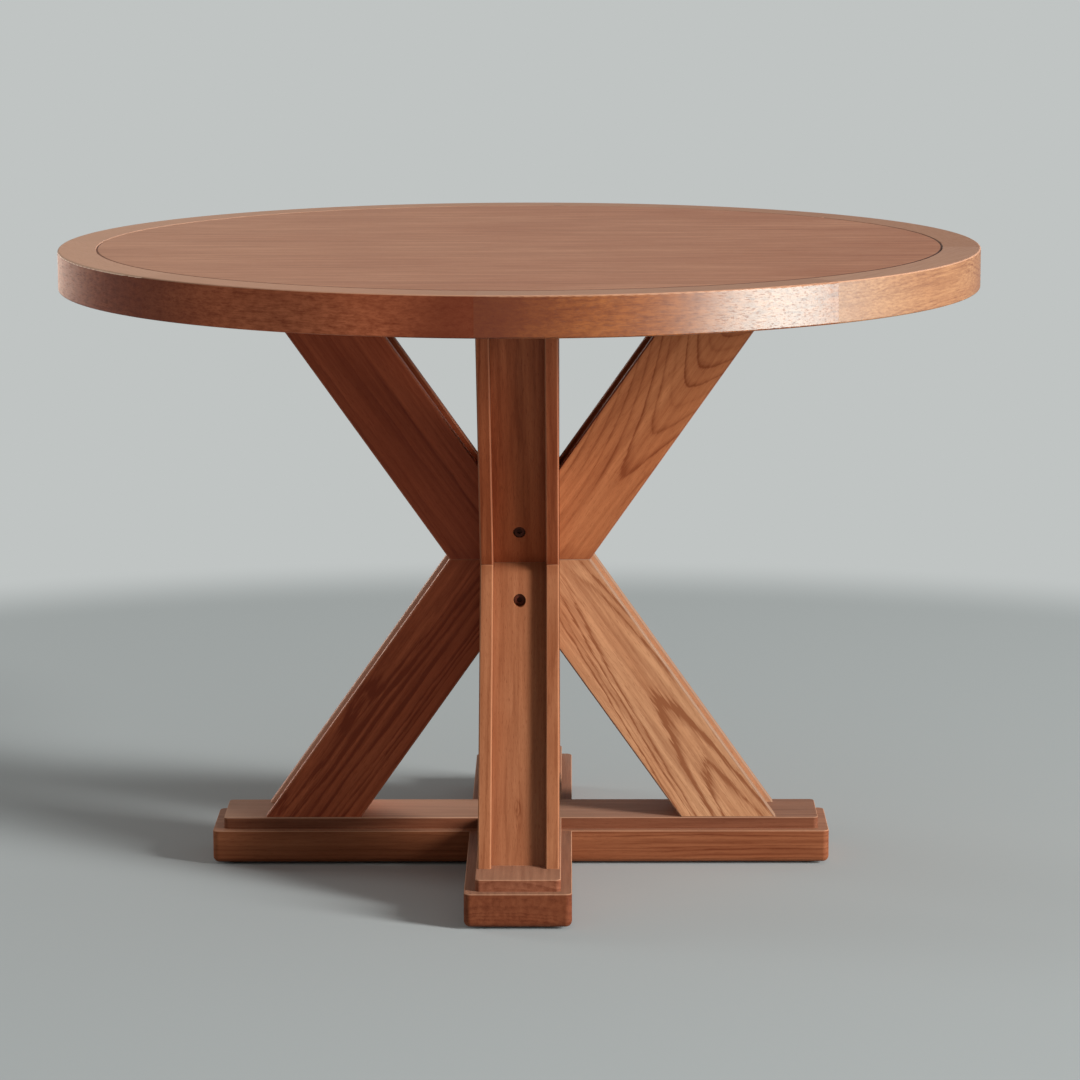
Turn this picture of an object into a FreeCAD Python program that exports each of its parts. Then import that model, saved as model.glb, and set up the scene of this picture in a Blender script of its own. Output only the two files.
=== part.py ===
import FreeCAD, Part
import math
import os

# Round dining table on a sawbuck base: two crossed X frames on crossed foot beams.
# Millimetres. X runs left to right, Y from front to rear, +Z up; the origin is on the floor under
# the centre. Every piece is a solid of its own, saved in a file of its own.

# ---------------------------------------------------------------- driving dimensions
table_height = 762.0

top_diameter = 1120.0
rim_height = 48.0
rim_width = 47.0
rim_ledge_width = 14.0
rim_segments = 8
rim_joint_turn = -4.5
panel_thickness = 25.0
groove_leg = 1.4
rim_ease = 2.0

frame_thickness = 96.0
arm_width = 96.0
cheek_thickness = 16.0
core_setback = 14.0
waist_proud = 38.0
cheek_bevel = 1.2

glide_height = 3.0
beam_length = 760.0
beam_height = 40.0
beam_corner_radius = 8.0
beam_base_radius = 7.0
foot_arris = 0.8
plinth_height = 14.0
plinth_inset = 13.0
plinth_corner_radius = 6.0
arm_margin_on_plinth = 2.0
toe_inset = 65.0

batten_thickness = 34.0
batten_side_margin = 15.0
batten_overhang = 65.0
batten_end_bevel = 12.0

# fits
wood_gap = 0.15
pin_gap = 0.1
hole_gap = 0.5

# hub bolts: socket heads, sunk in the cores
hub_bolt_diameter = 8.0
hub_bolt_offset = 42.0
hub_bolt_grip = 34.0
hub_bolt_reach = 22.0
hub_bore_diameter = 15.0
hub_head_diameter = 13.0
hub_head_height = 8.0
hub_socket_across = 6.0
hub_socket_depth = 4.0
hub_washer_diameter = 14.0
hub_washer_thickness = 1.6
insert_diameter = 12.0
insert_length = 25.0
insert_flange_diameter = 15.0
insert_flange_thickness = 1.5

# dowels across the waist mitres
dowel_diameter = 10.0
dowel_length = 48.0
dowel_edge = 16.0

# lag screws: hexagon heads, into the ends of the cores
lag_diameter = 8.0
lag_bite = 50.0
lag_edge = 14.0
lag_head_across = 13.0
lag_head_height = 5.5
lag_washer_diameter = 18.0
lag_washer_thickness = 1.6
lag_counterbore_diameter = 20.0
foot_counterbore_depth = 10.0
batten_counterbore_depth = 8.0

# wood screws into the top panel
screw_diameter = 5.0
screw_head_diameter = 9.5
screw_drive_across = 3.0
screw_drive_depth = 2.0
screw_bite = 16.0
batten_screw_sink = 8.0
batten_screw_edge = 20.0
batten_screw_inner_reach = 150.0
rim_screw_sink = 1.0
rim_screws_per_segment = 2

# loose splines in the rim's butt joints
spline_thickness = 6.0
spline_width = 24.0
spline_length = 40.0

# nail-on glides
glide_diameter = 26.0
glide_ease = 1.0
glide_pin_diameter = 3.0
glide_pin_length = 16.0
glide_end_inset = 28.0
glide_side_inset = 26.0

# ---------------------------------------------------------------- sizes that follow
UP = FreeCAD.Vector(0, 0, 1)
OUT = FreeCAD.Vector(1, 0, 0)
ACROSS = FreeCAD.Vector(0, 1, 0)

top_radius = top_diameter / 2
panel_seat_radius = top_radius - rim_width
ledge_radius = panel_seat_radius - rim_ledge_width
rim_base = table_height - rim_height
panel_base = table_height - panel_thickness

beam_top = glide_height + beam_height
plinth_top = beam_top + plinth_height
arm_top = panel_base - batten_thickness
waist_height = (plinth_top + arm_top) / 2
arm_rise = waist_height - plinth_top

hub_half = frame_thickness / 2
core_half = hub_half - cheek_thickness
plinth_half_width = hub_half + arm_margin_on_plinth
beam_half_width = plinth_half_width + plinth_inset
batten_half_width = hub_half + batten_side_margin
beam_half_length = beam_length / 2
plinth_half_length = beam_half_length - plinth_inset

waist_reach = hub_half + waist_proud
toe_reach = beam_half_length - toe_inset
batten_half_length = toe_reach + batten_overhang
arm_lean = (toe_reach - waist_reach) / arm_rise
arm_angle = math.atan2(1, arm_lean)
arm_footprint = arm_width / math.sin(arm_angle)
core_step = core_setback / math.sin(arm_angle)
hub_half_height = arm_rise - (toe_reach - arm_footprint - hub_half) / arm_lean

dowel_reach = (hub_half + waist_reach - core_step) / 2
dowel_side = core_half - dowel_edge
lag_side = core_half - lag_edge
core_inner_toe = toe_reach - arm_footprint + core_step
core_outer_at_bite = toe_reach - core_step - lag_bite * arm_lean
lag_reach = (core_inner_toe + core_outer_at_bite) / 2

# The four directions that arms take, as a turn about Z, and the names of the two cheeks there:
# first the one on the clockwise side of the core, then the one on the other side.
directions = {
    "right": (0, ("front", "rear")),
    "rear": (90, ("right", "left")),
    "left": (180, ("rear", "front")),
    "front": (270, ("left", "right")),
}


# ---------------------------------------------------------------- helpers
def box(x_span, y_span, z_span):
    low = FreeCAD.Vector(x_span[0], y_span[0], z_span[0])
    return Part.makeBox(x_span[1] - x_span[0], y_span[1] - y_span[0], z_span[1] - z_span[0], low)


def rod(diameter, start, length, axis=UP):
    return Part.makeCylinder(diameter / 2, length, FreeCAD.Vector(*start), axis)


def hexagon(across, start, length, axis=UP):
    """A six-sided prism that begins at start and runs along axis."""
    radius = across / math.sqrt(3)
    turns = [math.radians(60 * k) for k in range(7)]
    corners = [FreeCAD.Vector(radius * math.cos(a), radius * math.sin(a), 0) for a in turns]
    prism = Part.Face(Part.makePolygon(corners)).extrude(FreeCAD.Vector(0, 0, length))
    prism.Placement = FreeCAD.Placement(FreeCAD.Vector(*start), FreeCAD.Rotation(UP, axis))
    return prism


def turned(shape, degrees):
    """A copy of shape, turned about the table's own upright axis."""
    copy = shape.copy()
    copy.rotate(FreeCAD.Vector(0, 0, 0), UP, degrees)
    return copy


def flipped(shape):
    """A copy of shape, mirrored in the level plane of the waist."""
    return shape.mirror(FreeCAD.Vector(0, 0, waist_height), UP)


def four_ways(shapes):
    """Copies of each shape for each of the four directions."""
    return [turned(shape, turn) for turn, _ in directions.values() for shape in shapes]


def along(edge, direction):
    """Whether a straight edge runs along direction."""
    if not isinstance(edge.Curve, Part.Line):
        return False
    return abs(edge.tangentAt(edge.FirstParameter).dot(direction)) > 0.9999


def level_edges(solid, height):
    """The edges of solid that lie in the level plane at height."""
    return [edge for edge in solid.Edges
            if all(abs(limit - height) < 0.01 for limit in (edge.BoundBox.ZMin, edge.BoundBox.ZMax))]


def save(node, *solids):
    shape = solids[0] if len(solids) == 1 else Part.makeCompound(list(solids))
    shape.exportStep("parts/" + node + ".step")


# ---------------------------------------------------------------- arms
def arm_board(setback, side_span):
    """A board of a lower arm that points along +X, drawn in by setback at both slanted edges."""
    step = setback / math.sin(arm_angle)
    inner_toe = toe_reach - arm_footprint + step
    outline = [
        (hub_half, waist_height),
        (waist_reach - step, waist_height),
        (toe_reach - step, plinth_top),
        (inner_toe, plinth_top),
        (hub_half, plinth_top + (inner_toe - hub_half) / arm_lean),
        (hub_half, waist_height),
    ]
    corners = [FreeCAD.Vector(reach, side_span[0], height) for reach, height in outline]
    thickness = FreeCAD.Vector(0, side_span[1] - side_span[0], 0)
    return Part.Face(Part.makePolygon(corners)).extrude(thickness)


def lower_cheek(side_span):
    """A cheek board, with its four long arrises bevelled."""
    board = arm_board(0, side_span)
    slope = FreeCAD.Vector(-arm_lean, 0, 1).normalize()
    return board.makeChamfer(cheek_bevel, [edge for edge in board.Edges if along(edge, slope)])


def lower_core():
    """The core board, bored for a hub bolt, two mitre dowels and two lag screws."""
    core = arm_board(core_setback, (-core_half, core_half))
    bolt_height = waist_height - hub_bolt_offset
    seat = hub_half + hub_bolt_grip
    bores = [
        rod(hub_bolt_diameter + 2 * hole_gap, (hub_half, 0, bolt_height), hub_bolt_grip, OUT),
        rod(hub_bore_diameter, (seat, 0, bolt_height), toe_reach, OUT),
    ]
    for side in (-1, 1):
        dowel_foot = waist_height - dowel_length / 2
        dowel_bore = dowel_diameter + 2 * pin_gap
        bores.append(rod(dowel_bore, (dowel_reach, side * dowel_side, dowel_foot), dowel_length))
        lag_bore = lag_diameter + 2 * pin_gap
        bores.append(rod(lag_bore, (lag_reach, side * lag_side, plinth_top), lag_bite))
    return core.cut(bores)


def save_arms():
    cheek_spans = ((-hub_half, -core_half), (core_half, hub_half))
    cheeks = [lower_cheek(span) for span in cheek_spans]
    core = lower_core()
    for direction, (turn, cheek_names) in directions.items():
        for level, place in (("lower", lambda shape: shape), ("upper", flipped)):
            arm = direction + "_" + level
            save(arm + "_core", turned(place(core), turn))
            for cheek, side in zip(cheeks, cheek_names):
                save(arm + "_cheek_" + side, turned(place(cheek), turn))


def save_mitre_dowels():
    foot = waist_height - dowel_length / 2
    pair = [rod(dowel_diameter, (dowel_reach, side * dowel_side, foot), dowel_length) for side in (-1, 1)]
    save("mitre_dowels", *four_ways(pair))


# ---------------------------------------------------------------- hub
def bolt_heights():
    return waist_height - hub_bolt_offset, waist_height + hub_bolt_offset


def save_hub_post():
    side = (-hub_half, hub_half)
    post = box(side, side, (waist_height - hub_half_height, waist_height + hub_half_height))
    bores = []
    for height in bolt_heights():
        start = hub_half - insert_length - hole_gap
        bores.append(rod(insert_diameter + 2 * pin_gap, (start, 0, height), insert_length + hole_gap, OUT))
        flange_start = hub_half - insert_flange_thickness
        flange_bore = insert_flange_diameter + 2 * pin_gap
        bores.append(rod(flange_bore, (flange_start, 0, height), insert_flange_thickness, OUT))
    save("hub_post", post.cut(four_ways(bores)))


def hub_bolt(height):
    """A socket head bolt along +X; its head bears on the washer, its end is in the insert."""
    under_head = hub_half + hub_bolt_grip + hub_washer_thickness
    end = hub_half - hub_bolt_reach
    shank = rod(hub_bolt_diameter, (end, 0, height), under_head - end, OUT)
    head = rod(hub_head_diameter, (under_head, 0, height), hub_head_height, OUT)
    socket_floor = under_head + hub_head_height - hub_socket_depth
    socket = hexagon(hub_socket_across, (socket_floor, 0, height), hub_socket_depth, OUT)
    return shank.fuse(head).cut(socket)


def hub_washer(height):
    seat = hub_half + hub_bolt_grip
    disc = rod(hub_washer_diameter, (seat, 0, height), hub_washer_thickness, OUT)
    hole = rod(hub_bolt_diameter + 2 * pin_gap, (seat, 0, height), hub_washer_thickness, OUT)
    return disc.cut(hole)


def hub_insert(height):
    """A flanged threaded insert, flush with the face of the hub post."""
    start = hub_half - insert_length
    flange_start = hub_half - insert_flange_thickness
    barrel = rod(insert_diameter, (start, 0, height), insert_length, OUT)
    flange = rod(insert_flange_diameter, (flange_start, 0, height), insert_flange_thickness, OUT)
    hole = rod(hub_bolt_diameter + 2 * pin_gap, (start, 0, height), insert_length, OUT)
    return barrel.fuse(flange).cut(hole)


def save_hub_hardware():
    for node, make in (("hub_bolts", hub_bolt), ("hub_washers", hub_washer), ("hub_inserts", hub_insert)):
        save(node, *four_ways([make(height) for height in bolt_heights()]))


# ---------------------------------------------------------------- lag screws
def lag_screw(seat, length):
    """A hexagon head screw that points up from a washer whose lower face is at seat."""
    shank_start = seat - lag_washer_thickness
    tip_height = lag_diameter
    heads = []
    for side in (-1, 1):
        place = (lag_reach, side * lag_side)
        head = hexagon(lag_head_across, (*place, shank_start - lag_head_height), lag_head_height)
        shank = rod(lag_diameter, (*place, shank_start), length - tip_height)
        tip_base = FreeCAD.Vector(*place, shank_start + length - tip_height)
        tip = Part.makeCone(lag_diameter / 2, lag_diameter / 8, tip_height, tip_base, UP)
        heads.append(head.fuse([shank, tip]))
    return heads


def lag_washer(seat):
    washers = []
    for side in (-1, 1):
        start = (lag_reach, side * lag_side, seat - lag_washer_thickness)
        disc = rod(lag_washer_diameter, start, lag_washer_thickness)
        washers.append(disc.cut(rod(lag_diameter + 2 * pin_gap, start, lag_washer_thickness)))
    return washers


def lag_holes(diameter, start, length):
    """Cutters for an upright hole at every lag screw, from the height start upwards."""
    return four_ways([rod(diameter, (lag_reach, side * lag_side, start), length) for side in (-1, 1)])


def lag_cuts(seat, sink):
    """Cutters for each lag screw's counterbore below its seat and its clearance hole above it."""
    clearance_hole = lag_holes(lag_diameter + 2 * hole_gap, seat, plinth_top - seat)
    return lag_holes(lag_counterbore_diameter, seat - sink, sink) + clearance_hole


def foot_seat():
    return glide_height + foot_counterbore_depth


def batten_seat():
    """The battens' screw seat, as it lies below the waist before it is mirrored up."""
    return plinth_top - batten_thickness + batten_counterbore_depth


def save_lag_screws():
    foot_length = plinth_top - foot_seat() + lag_washer_thickness + lag_bite - hole_gap
    batten_length = plinth_top - batten_seat() + lag_washer_thickness + lag_bite - hole_gap
    save("foot_lag_screws", *four_ways(lag_screw(foot_seat(), foot_length)))
    save("foot_washers", *four_ways(lag_washer(foot_seat())))
    save("batten_lag_screws", *[flipped(s) for s in four_ways(lag_screw(batten_seat(), batten_length))])
    save("batten_washers", *[flipped(s) for s in four_ways(lag_washer(batten_seat()))])


# ---------------------------------------------------------------- foot
def foot_beam():
    """A whole foot beam along X, with its upright corners and its lower edges rounded."""
    beam = box((-beam_half_length, beam_half_length), (-beam_half_width, beam_half_width),
               (glide_height, beam_top))
    beam = beam.makeFillet(beam_corner_radius, [edge for edge in beam.Edges if along(edge, UP)])
    beam = beam.makeFillet(beam_base_radius, level_edges(beam, glide_height))
    return beam.makeChamfer(foot_arris, level_edges(beam, beam_top))


def glide_places():
    """Where the glides stand under the beam along X: two near each end."""
    reach = beam_half_length - glide_end_inset
    side = beam_half_width - glide_side_inset
    return [(end * reach, across * side) for end in (-1, 1) for across in (-1, 1)]


def glide_pin_bores():
    bore = glide_pin_diameter + 2 * pin_gap
    return [rod(bore, (x, y, glide_height), glide_pin_length) for x, y in glide_places()]


def save_foot_beams():
    """Two equal beams, halved over each other; the one along X takes the upper half."""
    middle = glide_height + beam_height / 2
    notch_half = beam_half_width + wood_gap
    notch = (-notch_half, notch_half)
    screw_cuts = lag_cuts(foot_seat(), foot_counterbore_depth)
    cross_cuts = [box(notch, notch, (glide_height, middle))] + glide_pin_bores()
    save("foot_beam_cross", foot_beam().cut(cross_cuts + screw_cuts))
    long_cuts = [box(notch, notch, (middle, beam_top))] + [turned(bore, 90) for bore in glide_pin_bores()]
    save("foot_beam_long", turned(foot_beam(), 90).cut(long_cuts + screw_cuts))


def plinth_board(start, end):
    """A board on the foot beam along X, rounded at the corners of its free ends and bevelled above."""
    board = box((start, end), (-plinth_half_width, plinth_half_width), (beam_top, plinth_top))
    free_corners = [edge for edge in board.Edges
                    if along(edge, UP) and abs(edge.Vertexes[0].X) > plinth_half_width + wood_gap]
    board = board.makeFillet(plinth_corner_radius, free_corners)
    return board.makeChamfer(foot_arris, level_edges(board, plinth_top))


def save_plinths():
    holes = lag_holes(lag_diameter + 2 * hole_gap, beam_top, plinth_height)
    cross = plinth_board(-plinth_half_length, plinth_half_length)
    save("plinth_cross", cross.cut(holes))
    short = plinth_board(plinth_half_width, plinth_half_length)
    for node, direction in (("plinth_front", "front"), ("plinth_rear", "rear")):
        save(node, turned(short, directions[direction][0]).cut(holes))


def floor_glide(place):
    """A nylon disc with a pin that is driven up into the beam."""
    disc = rod(glide_diameter, (*place, 0), glide_height)
    disc = disc.makeFillet(glide_ease, level_edges(disc, 0))
    return disc.fuse(rod(glide_pin_diameter, (*place, glide_height), glide_pin_length))


def save_floor_glides():
    glides = [floor_glide(place) for place in glide_places()]
    save("floor_glides", *glides, *[turned(glide, 90) for glide in glides])


# ---------------------------------------------------------------- battens
def batten():
    """A whole batten along X, with the lower edge of each end bevelled."""
    bar = box((-batten_half_length, batten_half_length), (-batten_half_width, batten_half_width),
              (arm_top, panel_base))
    lower_ends = [edge for edge in level_edges(bar, arm_top) if along(edge, ACROSS)]
    return bar.makeChamfer(batten_end_bevel, lower_ends)


def batten_screw_places():
    """Where the screws go up through the batten along X: four near each end, outside the arms."""
    outer = batten_half_length - batten_screw_edge
    side = batten_half_width - batten_screw_edge
    return [(end * reach, across * side)
            for end in (-1, 1) for reach in (batten_screw_inner_reach, outer) for across in (-1, 1)]


def wood_screw(place, head_seat, grip):
    """A countersunk screw that points up: its head's flat is at head_seat, its tip in the panel."""
    head_height = (screw_head_diameter - screw_diameter) / 2
    head_base = FreeCAD.Vector(*place, head_seat)
    head = Part.makeCone(screw_head_diameter / 2, screw_diameter / 2, head_height, head_base, UP)
    tip_start = head_seat + grip + screw_bite - screw_diameter
    shank = rod(screw_diameter, (*place, head_seat + head_height), tip_start - head_seat - head_height)
    tip_base = FreeCAD.Vector(*place, tip_start)
    tip = Part.makeCone(screw_diameter / 2, screw_diameter / 8, screw_diameter, tip_base, UP)
    half = screw_drive_across / 2
    drive = box((place[0] - half, place[0] + half), (place[1] - half, place[1] + half),
                (head_seat, head_seat + screw_drive_depth))
    return head.fuse([shank, tip]).cut(drive)


def wood_screw_bores(place, mouth, head_seat, grip):
    """Cutters for a wood screw's sunk mouth, its countersink and its clearance hole."""
    head_height = (screw_head_diameter - screw_diameter) / 2
    mouth_bore = rod(screw_head_diameter + 2 * pin_gap, (*place, mouth), head_seat - mouth)
    sink_base = FreeCAD.Vector(*place, head_seat)
    head_radius = screw_head_diameter / 2 + pin_gap
    sink = Part.makeCone(head_radius, screw_diameter / 2 + pin_gap, head_height, sink_base, UP)
    hole = rod(screw_diameter + 2 * pin_gap, (*place, head_seat), grip)
    return [mouth_bore, sink, hole]


def batten_screws_sites():
    """Every place of a batten screw, for both battens."""
    quarter = [(-y, x) for x, y in batten_screw_places()]
    return batten_screw_places() + quarter


def save_battens():
    """Two equal battens, halved over each other; the one along X takes the lower half."""
    middle = arm_top + batten_thickness / 2
    notch_half = batten_half_width + wood_gap
    notch = (-notch_half, notch_half)
    seat = arm_top + batten_screw_sink
    grip = batten_thickness - batten_screw_sink
    screw_cuts = []
    for place in batten_screws_sites():
        screw_cuts += wood_screw_bores(place, arm_top, seat, grip)
    cuts = screw_cuts + [flipped(bore) for bore in lag_cuts(batten_seat(), batten_counterbore_depth)]
    save("batten_cross", batten().cut([box(notch, notch, (middle, panel_base))] + cuts))
    save("batten_long", turned(batten(), 90).cut([box(notch, notch, (arm_top, middle))] + cuts))
    save("top_screws", *[wood_screw(place, seat, grip) for place in batten_screws_sites()])


# ---------------------------------------------------------------- top
def ring_section():
    """Half section of the rim in the XZ plane: an L, eased outside and bevelled at the groove."""
    def point(radius, height):
        return FreeCAD.Vector(radius, 0, height)

    def corner(radius, height, turn):
        centre = point(radius, height)
        points = [centre + FreeCAD.Vector(rim_ease * math.cos(a), 0, rim_ease * math.sin(a))
                  for a in (turn, turn + math.pi / 4, turn + math.pi / 2)]
        return Part.Arc(*points).toShape()

    def line(start, end):
        return Part.LineSegment(point(*start), point(*end)).toShape()

    eased_radius = top_radius - rim_ease
    low, high = rim_base + rim_ease, table_height - rim_ease
    edges = [
        line((ledge_radius, rim_base), (eased_radius, rim_base)),
        corner(eased_radius, low, -math.pi / 2),
        line((top_radius, low), (top_radius, high)),
        corner(eased_radius, high, 0),
        line((eased_radius, table_height), (panel_seat_radius + groove_leg, table_height)),
        line((panel_seat_radius + groove_leg, table_height), (panel_seat_radius, table_height - groove_leg)),
        line((panel_seat_radius, table_height - groove_leg), (panel_seat_radius, panel_base)),
        line((panel_seat_radius, panel_base), (ledge_radius, panel_base)),
        line((ledge_radius, panel_base), (ledge_radius, rim_base)),
    ]
    return Part.Face(Part.Wire(edges))


def rim_turns():
    """The turn of each rim joint about Z; the first is the one nearest the front."""
    return [rim_joint_turn - 90 + k * 360 / rim_segments for k in range(rim_segments)]


def spline_place(turn, gap):
    """A loose spline across the rim joint at turn, larger by gap all round."""
    middle_radius = (ledge_radius + top_radius) / 2
    middle_height = (rim_base + panel_base) / 2
    half_width, half_length = spline_width / 2 + gap, spline_length / 2 + gap
    half_thickness = spline_thickness / 2 + gap
    tongue = box((middle_radius - half_width, middle_radius + half_width), (-half_length, half_length),
                 (middle_height - half_thickness, middle_height + half_thickness))
    return turned(tongue, turn)


def rim_screw_places():
    """Screws that go up through the ledge, evenly spaced in each segment."""
    radius = (ledge_radius + panel_seat_radius) / 2
    step = 360 / rim_segments
    places = []
    for turn in rim_turns():
        for k in range(rim_screws_per_segment):
            angle = math.radians(turn + step * (k + 0.5) / rim_screws_per_segment)
            places.append((radius * math.cos(angle), radius * math.sin(angle)))
    return places


def save_rim():
    step = 360 / rim_segments
    segment = ring_section().revolve(FreeCAD.Vector(0, 0, 0), UP, step)
    seat = rim_base + rim_screw_sink
    grip = panel_base - seat
    screw_cuts = []
    for place in rim_screw_places():
        screw_cuts += wood_screw_bores(place, rim_base, seat, grip)
    slots = [spline_place(turn, wood_gap) for turn in rim_turns()]
    for number, turn in enumerate(rim_turns(), start=1):
        save("rim_segment_%d" % number, turned(segment, turn).cut(slots + screw_cuts))
    save("rim_splines", *[spline_place(turn, 0) for turn in rim_turns()])
    save("rim_screws", *[wood_screw(place, seat, grip) for place in rim_screw_places()])


def save_top_panel():
    """The disc inside the groove, on the rim's ledge and on the battens, with its screw holes."""
    radius = panel_seat_radius - wood_gap
    disc = rod(2 * radius, (0, 0, panel_base), panel_thickness)
    disc = disc.makeChamfer(groove_leg, level_edges(disc, table_height))
    bore = screw_diameter + 2 * pin_gap
    places = batten_screws_sites() + rim_screw_places()
    save("top_panel", disc.cut([rod(bore, (*place, panel_base), screw_bite) for place in places]))


# ---------------------------------------------------------------- build
os.makedirs("parts", exist_ok=True)
save_top_panel()
save_rim()
save_battens()
save_arms()
save_mitre_dowels()
save_hub_post()
save_hub_hardware()
save_lag_screws()
save_foot_beams()
save_plinths()
save_floor_glides()
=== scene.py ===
# %% [markdown]
# # A round dining table on a sawbuck base
# The construction of this table is already drawn, board by board, at its real size. This lesson
# dresses it: edges that a hand has softened, stained and lacquered wood with its own figure on
# every board, steel fittings and nylon glides. The camera comes first, the floor and lamps last.

# %% Load the drawn table
import math
import random

import bmesh
import bpy
from mathutils import Matrix, Vector


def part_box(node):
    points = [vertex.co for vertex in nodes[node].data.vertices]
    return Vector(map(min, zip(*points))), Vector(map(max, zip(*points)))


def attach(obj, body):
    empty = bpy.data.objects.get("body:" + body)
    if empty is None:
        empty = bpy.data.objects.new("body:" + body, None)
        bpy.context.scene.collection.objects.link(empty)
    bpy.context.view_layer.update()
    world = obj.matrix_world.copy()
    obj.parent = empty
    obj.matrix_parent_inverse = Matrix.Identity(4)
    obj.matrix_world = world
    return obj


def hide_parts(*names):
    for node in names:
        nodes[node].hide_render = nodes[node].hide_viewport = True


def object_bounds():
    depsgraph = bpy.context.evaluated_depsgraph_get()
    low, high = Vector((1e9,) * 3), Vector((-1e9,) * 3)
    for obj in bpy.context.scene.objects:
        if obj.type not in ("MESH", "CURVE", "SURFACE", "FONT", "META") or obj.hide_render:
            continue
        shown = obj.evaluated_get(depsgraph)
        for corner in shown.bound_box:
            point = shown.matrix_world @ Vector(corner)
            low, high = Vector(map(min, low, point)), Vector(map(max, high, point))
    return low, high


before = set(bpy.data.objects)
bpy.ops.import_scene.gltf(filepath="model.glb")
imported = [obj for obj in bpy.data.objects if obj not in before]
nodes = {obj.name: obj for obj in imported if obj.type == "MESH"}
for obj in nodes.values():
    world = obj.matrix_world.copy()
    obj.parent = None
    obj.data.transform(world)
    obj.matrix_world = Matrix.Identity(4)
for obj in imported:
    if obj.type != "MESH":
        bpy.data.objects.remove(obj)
drawn_low, drawn_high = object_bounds()
MM = 0.001
table_size = [round(side, 4) for side in drawn_high - drawn_low]
print("drawn pieces:", len(nodes), "size in m:", table_size)

# %% [markdown]
# ## The camera
# It stands where a person across the room would: five metres in front of the table and a little
# above it. A long lens was chosen, because from so far away it keeps upright boards upright.

# %% Place the camera
camera_place = (0.0613, -5.291, 1.2928)
camera_yaw = -0.0070
camera_pitch = -0.1679
camera_roll = -0.0026
lens_mm = 145.04
sensor_mm = 36

camera_data = bpy.data.cameras.new("camera")
camera_data.lens = lens_mm
camera_data.sensor_width = sensor_mm
camera_data.dof.use_dof = False
camera = bpy.data.objects.new("camera", camera_data)
bpy.context.scene.collection.objects.link(camera)
aim = Matrix.Rotation(-camera_yaw, 4, "Z") @ Matrix.Rotation(math.pi / 2 + camera_pitch, 4, "X")
camera.matrix_world = Matrix.Translation(camera_place) @ aim @ Matrix.Rotation(camera_roll, 4, "Z")
bpy.context.scene.camera = camera
print("camera", round(-camera_place[1], 2), "m in front")

# %% [markdown]
# ## Writing a material as a sum
# A material is a graph of small nodes. Reading and writing one is easier when two masks are simply
# added or multiplied, so a Wire stands for a node's output and each operator adds one Math node.
# A Recipe makes every other node: its settings come first, because they decide which sockets the
# node has, and then its values and links.

# %% A wire that can be added and multiplied
class Wire:
    """One output of a node. Sums and products of wires add Math nodes to the recipe."""

    def __init__(self, recipe, socket):
        self.recipe = recipe
        self.socket = socket

    def math(self, operation, *values):
        return self.recipe.add("ShaderNodeMath", {"operation": operation}, dict(enumerate(values)))

    def out(self, name):
        """Another output of the same node."""
        return Wire(self.recipe, self.socket.node.outputs[name])

    def __add__(self, other):
        return self.math("ADD", self, other)

    def __sub__(self, other):
        return self.math("SUBTRACT", self, other)

    def __rsub__(self, other):
        return self.math("SUBTRACT", other, self)

    def __mul__(self, other):
        return self.math("MULTIPLY", self, other)

    def __truediv__(self, other):
        return self.math("DIVIDE", self, other)

    def __rtruediv__(self, other):
        return self.math("DIVIDE", other, self)

    def __pow__(self, other):
        return self.math("POWER", self, other)

    def __rpow__(self, other):
        return self.math("POWER", other, self)

    __radd__ = __add__
    __rmul__ = __mul__


print("a wire knows the signs + - * / and **")


# %% A recipe that makes nodes
class Recipe:
    """The nodes of one material or of the world."""

    def __init__(self, owner):
        owner.use_nodes = True
        self.owner = owner
        self.tree = owner.node_tree
        self.tree.nodes.clear()

    def add(self, kind, settings=None, inputs=None):
        """Makes a node, sets it, fills its sockets by name or number, returns its first output."""
        node = self.tree.nodes.new(kind)
        for key, value in (settings or {}).items():
            if key == "stops":
                self.set_stops(node.color_ramp, value)
            else:
                setattr(node, key, value)
        sockets = [socket for socket in node.inputs if socket.enabled]
        for key, value in (inputs or {}).items():
            named = [socket for socket in sockets if socket.name == key]
            socket = named[0] if named else sockets[key]
            if isinstance(value, Wire):
                self.tree.links.new(value.socket, socket)
            else:
                socket.default_value = value
        outputs = [socket for socket in node.outputs if socket.enabled]
        return Wire(self, outputs[0]) if outputs else None

    @staticmethod
    def set_stops(ramp, stops):
        """Gives a colour ramp its stops: pairs of a place from 0 to 1 and a grey level."""
        while len(ramp.elements) < len(stops):
            ramp.elements.new(1)
        for element, (place, grey) in zip(ramp.elements, stops):
            element.position = place
            element.color = (grey, grey, grey, 1)


print("materials before the first recipe:", len(bpy.data.materials))


# %% Three nodes that the finishes below share
def blend(recipe, share, under, over):
    """A colour that goes from under to over as the share goes from 0 to 1."""
    return recipe.add("ShaderNodeMix", {"data_type": "RGBA"},
                      {"Factor": share, "A": under, "B": over})


def rise(recipe, value, start, end, curve="SMOOTHSTEP", low=0.0, high=1.0):
    """A number that goes from low to high while the value goes from start to end."""
    return recipe.add("ShaderNodeMapRange", {"interpolation_type": curve},
                      {"Value": value, "From Min": start, "From Max": end,
                       "To Min": low, "To Max": high})


def axis(recipe, vector, letter):
    """The X, Y or Z part of a vector."""
    return recipe.add("ShaderNodeSeparateXYZ", None, {"Vector": vector}).out(letter)


print("shared helpers:", blend.__name__, rise.__name__, axis.__name__)

# %% [markdown]
# ## Colours
# Paint charts give colours as a screen shows them. The nodes want the amount of light instead, so
# each colour is written as three numbers up to 255 and worked out once, in Python.

# %% Work out a colour
def colour(red, green, blue):
    """A screen colour as the red, green and blue light that it reflects, and full opacity."""
    def light(level):
        share = level / 255
        return share / 12.92 if share <= 0.04045 else ((share + 0.055) / 1.055) ** 2.4
    return (light(red), light(green), light(blue), 1)


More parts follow.
